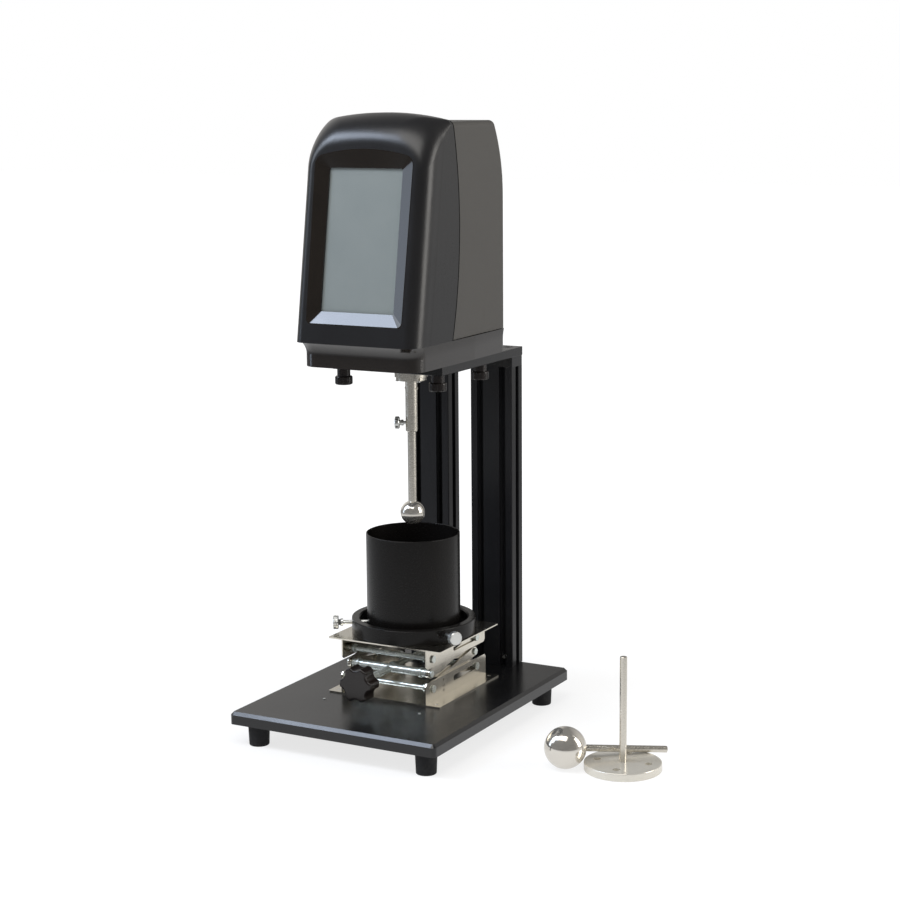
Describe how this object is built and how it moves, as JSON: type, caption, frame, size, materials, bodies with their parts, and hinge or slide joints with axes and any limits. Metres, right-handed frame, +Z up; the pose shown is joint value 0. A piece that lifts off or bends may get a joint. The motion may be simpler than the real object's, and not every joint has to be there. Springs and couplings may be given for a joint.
{
  "type": "rotational viscometer",
  "caption": "Bench rotational viscometer: leaning touch-display head on a twin-column stand, ball spindle, sample cup on a scissor lab jack, with spare spindles beside it.",
  "frame": {"origin": "on the bench surface under the middle of the base plate", "axes": "+Z up along the columns and the spindle axis, -Y towards the display side, +X to the right seen from the front"},
  "size_m": [0.4768, 0.338, 0.7121],
  "materials": {
    "black_anodised": "satin black anodised",
    "black_plate": "satin black powder coat with fine texture",
    "rubber": "moulded black rubber",
    "zinc_screw": "zinc plated",
    "black_screw": "black oxide",
    "housing": "fine-grained satin black moulding",
    "bezel": "high-gloss black moulding",
    "knob_plastic": "moulded brown-black plastic",
    "stainless": "turned stainless steel",
    "polished": "polished stainless steel",
    "jack_steel": "polished stainless sheet",
    "nickel": "nickel plated",
    "glass": "smoky cover glass",
    "display": "unlit liquid crystal panel",
    "board": "solder mask",
    "motor": "black enamel",
    "bare_aluminium": "machined",
    "socket_plastic": "moulded plastic"
  },
  "bodies": {
    "stand": {"base_plate": "black_plate", "feet": "rubber", "foot_screws": "zinc_screw", "column_left": "black_anodised", "column_right": "black_anodised", "column_bolts": "black_screw", "column_caps": "black_plate", "arm_plate": "black_plate", "arm_bolts": "black_screw", "bearing_housing": "stainless", "spindle_bearings": "nickel", "motor_bracket": "bare_aluminium", "torque_sensor": "bare_aluminium", "drive_motor": "motor", "jack_base": "jack_steel", "jack_screws": "zinc_screw", "base_pivot_rod": "nickel", "lower_housing": "housing", "front_cover": "housing", "rear_cover": "housing", "bezel_frame": "bezel", "touch_glass": "glass", "display_module": "display", "control_board": "board", "power_inlet": "socket_plastic", "switch_frame": "socket_plastic", "data_socket": "zinc_screw"},
    "drive": {"drive_shaft": "stainless", "shaft_coupling": "bare_aluminium", "motor_shaft": "stainless", "spindle_sleeve": "stainless", "sleeve_pin": "stainless"},
    "spindle": {"spindle_shaft": "stainless", "measuring_ball": "polished"},
    "sleeve_screw": {"sleeve_thumb_screw": "nickel"},
    "lower_lift": {"lower_lift_bars": "jack_steel"},
    "lower_cross": {"lower_cross_bars": "jack_steel", "base_slide_rod": "nickel"},
    "upper_lift": {"upper_lift_bars": "jack_steel"},
    "upper_cross": {"upper_cross_bars": "jack_steel", "platform_slide_rod": "nickel"},
    "near_trunnion": {"front_trunnion": "nickel"},
    "far_trunnion": {"rear_trunnion": "nickel"},
    "lifting_screw": {"jack_screw": "stainless", "jack_knob": "knob_plastic"},
    "platform": {"jack_platform": "jack_steel", "platform_pivot_rod": "nickel", "cup_holder": "black_anodised"},
    "cup": {"sample_cup": "black_anodised"},
    "clamp_screw_rear": {"cup_clamp_screw_rear": "nickel"},
    "clamp_screw_left": {"cup_clamp_screw_left": "nickel"},
    "clamp_screw_right": {"cup_clamp_screw_right": "nickel"},
    "knob_front_left": {"clamp_knob_front_left": "knob_plastic"},
    "knob_front_right": {"clamp_knob_front_right": "knob_plastic"},
    "knob_rear_right": {"clamp_knob_rear_right": "knob_plastic"},
    "rocker": {"power_rocker": "socket_plastic"},
    "spare_ball_spindle": {"spare_ball": "polished", "spare_ball_rod": "stainless"},
    "spare_disc_spindle": {"spare_disc": "stainless", "spare_disc_rod": "stainless"}
  },
  "joints": [
    {"name": "spindle_spin", "type": "hinge", "parent": "stand", "child": "drive", "pos_m": [0, 0.024, 0.4045], "axis": [0, 0, 1], "continuous": true},
    {"name": "sleeve_screw_travel", "type": "slide", "parent": "drive", "child": "sleeve_screw", "axis": [-0.9063, -0.4226, 0], "range_m": [0, 0.005]},
    {"name": "spindle_height", "type": "slide", "parent": "drive", "child": "spindle", "axis": [0, 0, 1], "range_m": [-0.012, 0.012]},
    {"name": "jack_lift", "type": "hinge", "parent": "stand", "child": "lower_lift", "pos_m": [0, -0.033, 0.0555], "axis": [1, 0, 0], "range_deg": [-1.34, 20.29]},
    {"name": "lower_cross_turn", "type": "hinge", "parent": "lower_lift", "child": "lower_cross", "pos_m": [0, 0.0205, 0.06438], "axis": [1, 0, 0], "range_deg": [-40.6, 2.7]},
    {"name": "far_trunnion_turn", "type": "hinge", "parent": "lower_lift", "child": "far_trunnion", "pos_m": [0, 0.074, 0.07325], "axis": [1, 0, 0], "range_deg": [-20.31, 1.36]},
    {"name": "upper_lift_turn", "type": "hinge", "parent": "lower_lift", "child": "upper_lift", "pos_m": [0, 0.074, 0.07325], "axis": [1, 0, 0], "range_deg": [-40.6, 2.7]},
    {"name": "upper_cross_turn", "type": "hinge", "parent": "upper_lift", "child": "upper_cross", "pos_m": [0, 0.0205, 0.08213], "axis": [1, 0, 0], "range_deg": [-2.7, 40.6]},
    {"name": "near_trunnion_turn", "type": "hinge", "parent": "lower_cross", "child": "near_trunnion", "pos_m": [0, -0.033, 0.07325], "axis": [1, 0, 0], "range_deg": [-1.36, 20.31]},
    {"name": "platform_level", "type": "hinge", "parent": "upper_lift", "child": "platform", "pos_m": [0, -0.033, 0.091], "axis": [1, 0, 0], "range_deg": [-1.36, 20.31]},
    {"name": "lifting_screw_turn", "type": "hinge", "parent": "near_trunnion", "child": "lifting_screw", "pos_m": [0, -0.033, 0.07325], "axis": [0, -1, 0], "range_deg": [-152, 2230.8]},
    {"name": "cup_lift", "type": "slide", "parent": "platform", "child": "cup", "axis": [0, 0, 1], "range_m": [0, 0.03]},
    {"name": "clamp_screw_rear_travel", "type": "slide", "parent": "platform", "child": "clamp_screw_rear", "axis": [0, 1, 0], "range_m": [0, 0.008]},
    {"name": "clamp_screw_left_travel", "type": "slide", "parent": "platform", "child": "clamp_screw_left", "axis": [-0.866, -0.5, 0], "range_m": [0, 0.008]},
    {"name": "clamp_screw_right_travel", "type": "slide", "parent": "platform", "child": "clamp_screw_right", "axis": [0.866, -0.5, 0], "range_m": [0, 0.008]},
    {"name": "knob_front_left_turn", "type": "hinge", "parent": "stand", "child": "knob_front_left", "pos_m": [-0.062, -0.024, 0.4095], "axis": [0, 0, 1], "range_deg": [0, 1080]},
    {"name": "knob_front_right_turn", "type": "hinge", "parent": "stand", "child": "knob_front_right", "pos_m": [0.062, -0.024, 0.4095], "axis": [0, 0, 1], "range_deg": [0, 1080]},
    {"name": "knob_rear_right_turn", "type": "hinge", "parent": "stand", "child": "knob_rear_right", "pos_m": [0.062, 0.078, 0.4095], "axis": [0, 0, 1], "range_deg": [0, 1080]},
    {"name": "power_switch", "type": "hinge", "parent": "stand", "child": "rocker", "pos_m": [0.002, 0.1144, 0.4905], "axis": [1, 0, 0], "range_deg": [0, 14]},
    {"name": "spare_ball_lift", "type": "slide", "parent": "stand", "child": "spare_ball_spindle", "axis": [0, 0, 1], "range_m": [0, 0.06]},
    {"name": "spare_disc_draw", "type": "slide", "parent": "stand", "child": "spare_disc_spindle", "axis": [0.6794, -0.7337, 0], "range_m": [0, 0.06]}
  ],
  "couplings": [
    {"joint": "lower_cross_turn", "follows": "jack_lift", "ratio": -2},
    {"joint": "far_trunnion_turn", "follows": "jack_lift", "ratio": -1},
    {"joint": "upper_lift_turn", "follows": "jack_lift", "ratio": -2},
    {"joint": "upper_cross_turn", "follows": "jack_lift", "ratio": 2},
    {"joint": "near_trunnion_turn", "follows": "jack_lift", "ratio": 1},
    {"joint": "platform_level", "follows": "jack_lift", "ratio": 1},
    {"joint": "lifting_screw_turn", "follows": "jack_lift", "ratio": 109.7}
  ]
}
